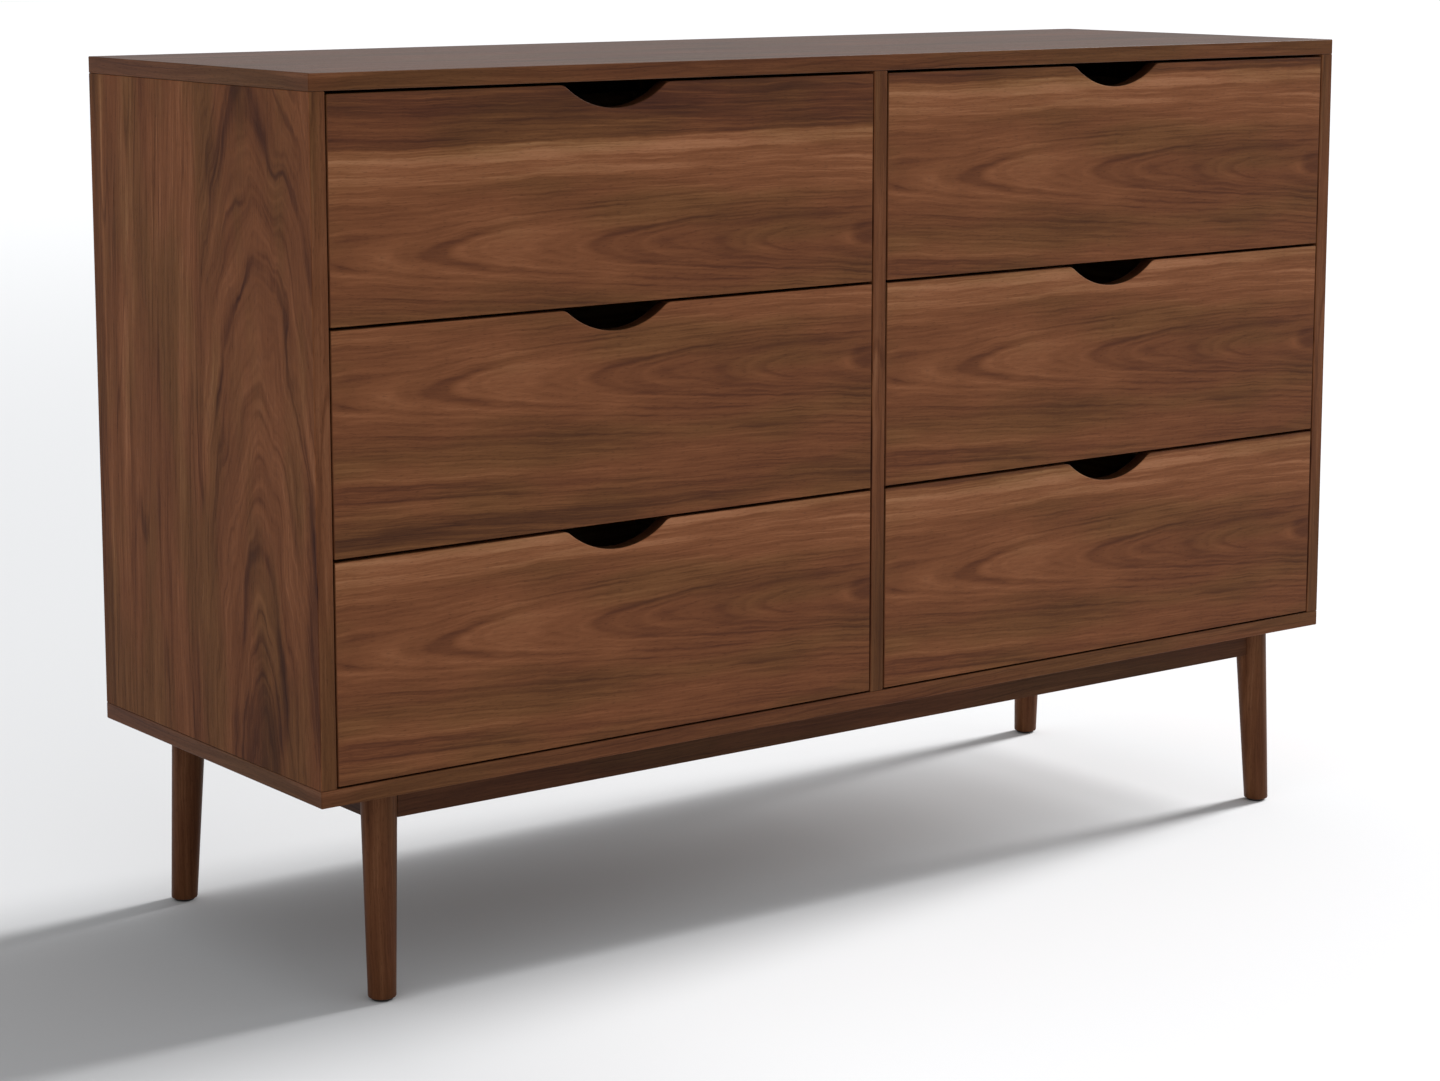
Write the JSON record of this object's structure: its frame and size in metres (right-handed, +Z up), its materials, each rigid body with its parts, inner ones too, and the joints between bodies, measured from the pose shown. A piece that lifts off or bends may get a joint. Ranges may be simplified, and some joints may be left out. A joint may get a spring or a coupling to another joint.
{
  "type": "dresser with drawers",
  "caption": "Low, wide storage dresser in walnut veneer: a flat-panel case on splayed tapered legs, with flush drawers opened by curved finger notches.",
  "frame": {"origin": "on the floor under the middle of the case", "axes": "+X along the width, to the right as seen from the front; +Y to the rear, so the drawers open along -Y; +Z up"},
  "size_m": [1.2, 0.396, 0.794],
  "materials": {
    "case_veneer": "satin walnut veneer, figured, with grain along each board",
    "front_veneer": "satin walnut veneer, horizontal grain, the same figure on every front",
    "rail_walnut": "satin solid walnut, dark, straight grain along the rail",
    "leg_walnut": "satin solid walnut, turned, grain along the leg",
    "drawer_box_wood": "pale solid wood, clear matt lacquer",
    "drawer_bottom_plywood": "pale plywood, clear matt lacquer",
    "back_plywood": "stained plywood, matt",
    "runner_hardwood": "planed hardwood, waxed",
    "glide_nylon": "dark moulded nylon"
  },
  "bodies": {
    "case": {"top_panel": "case_veneer", "bottom_panel": "case_veneer", "side_panel_left": "case_veneer", "side_panel_right": "case_veneer", "centre_divider": "case_veneer", "back_panel": "back_plywood", "rail_front": "rail_walnut", "rail_rear": "rail_walnut", "rail_left": "rail_walnut", "rail_right": "rail_walnut", "leg_front_left": "leg_walnut", "leg_front_right": "leg_walnut", "leg_rear_left": "leg_walnut", "leg_rear_right": "leg_walnut", "glide_front_left": "glide_nylon", "glide_front_right": "glide_nylon", "glide_rear_left": "glide_nylon", "glide_rear_right": "glide_nylon", "bottom_left_runner_left": "runner_hardwood", "bottom_left_runner_right": "runner_hardwood", "middle_left_runner_left": "runner_hardwood", "middle_left_runner_right": "runner_hardwood", "top_left_runner_left": "runner_hardwood", "top_left_runner_right": "runner_hardwood", "bottom_right_runner_left": "runner_hardwood", "bottom_right_runner_right": "runner_hardwood", "middle_right_runner_left": "runner_hardwood", "middle_right_runner_right": "runner_hardwood", "top_right_runner_left": "runner_hardwood", "top_right_runner_right": "runner_hardwood"},
    "bottom_left_drawer": {"bottom_left_front": "front_veneer", "bottom_left_side_left": "drawer_box_wood", "bottom_left_side_right": "drawer_box_wood", "bottom_left_back": "drawer_box_wood", "bottom_left_bottom": "drawer_bottom_plywood"},
    "middle_left_drawer": {"middle_left_front": "front_veneer", "middle_left_side_left": "drawer_box_wood", "middle_left_side_right": "drawer_box_wood", "middle_left_back": "drawer_box_wood", "middle_left_bottom": "drawer_bottom_plywood"},
    "top_left_drawer": {"top_left_front": "front_veneer", "top_left_side_left": "drawer_box_wood", "top_left_side_right": "drawer_box_wood", "top_left_back": "drawer_box_wood", "top_left_bottom": "drawer_bottom_plywood"},
    "bottom_right_drawer": {"bottom_right_front": "front_veneer", "bottom_right_side_left": "drawer_box_wood", "bottom_right_side_right": "drawer_box_wood", "bottom_right_back": "drawer_box_wood", "bottom_right_bottom": "drawer_bottom_plywood"},
    "middle_right_drawer": {"middle_right_front": "front_veneer", "middle_right_side_left": "drawer_box_wood", "middle_right_side_right": "drawer_box_wood", "middle_right_back": "drawer_box_wood", "middle_right_bottom": "drawer_bottom_plywood"},
    "top_right_drawer": {"top_right_front": "front_veneer", "top_right_side_left": "drawer_box_wood", "top_right_side_right": "drawer_box_wood", "top_right_back": "drawer_box_wood", "top_right_bottom": "drawer_bottom_plywood"}
  },
  "joints": [
    {"name": "bottom_left_slide", "type": "slide", "parent": "case", "child": "bottom_left_drawer", "axis": [0, -1, 0], "range_m": [0, 0.26]},
    {"name": "middle_left_slide", "type": "slide", "parent": "case", "child": "middle_left_drawer", "axis": [0, -1, 0], "range_m": [0, 0.26]},
    {"name": "top_left_slide", "type": "slide", "parent": "case", "child": "top_left_drawer", "axis": [0, -1, 0], "range_m": [0, 0.26]},
    {"name": "bottom_right_slide", "type": "slide", "parent": "case", "child": "bottom_right_drawer", "axis": [0, -1, 0], "range_m": [0, 0.26]},
    {"name": "middle_right_slide", "type": "slide", "parent": "case", "child": "middle_right_drawer", "axis": [0, -1, 0], "range_m": [0, 0.26]},
    {"name": "top_right_slide", "type": "slide", "parent": "case", "child": "top_right_drawer", "axis": [0, -1, 0], "range_m": [0, 0.26]}
  ]
}
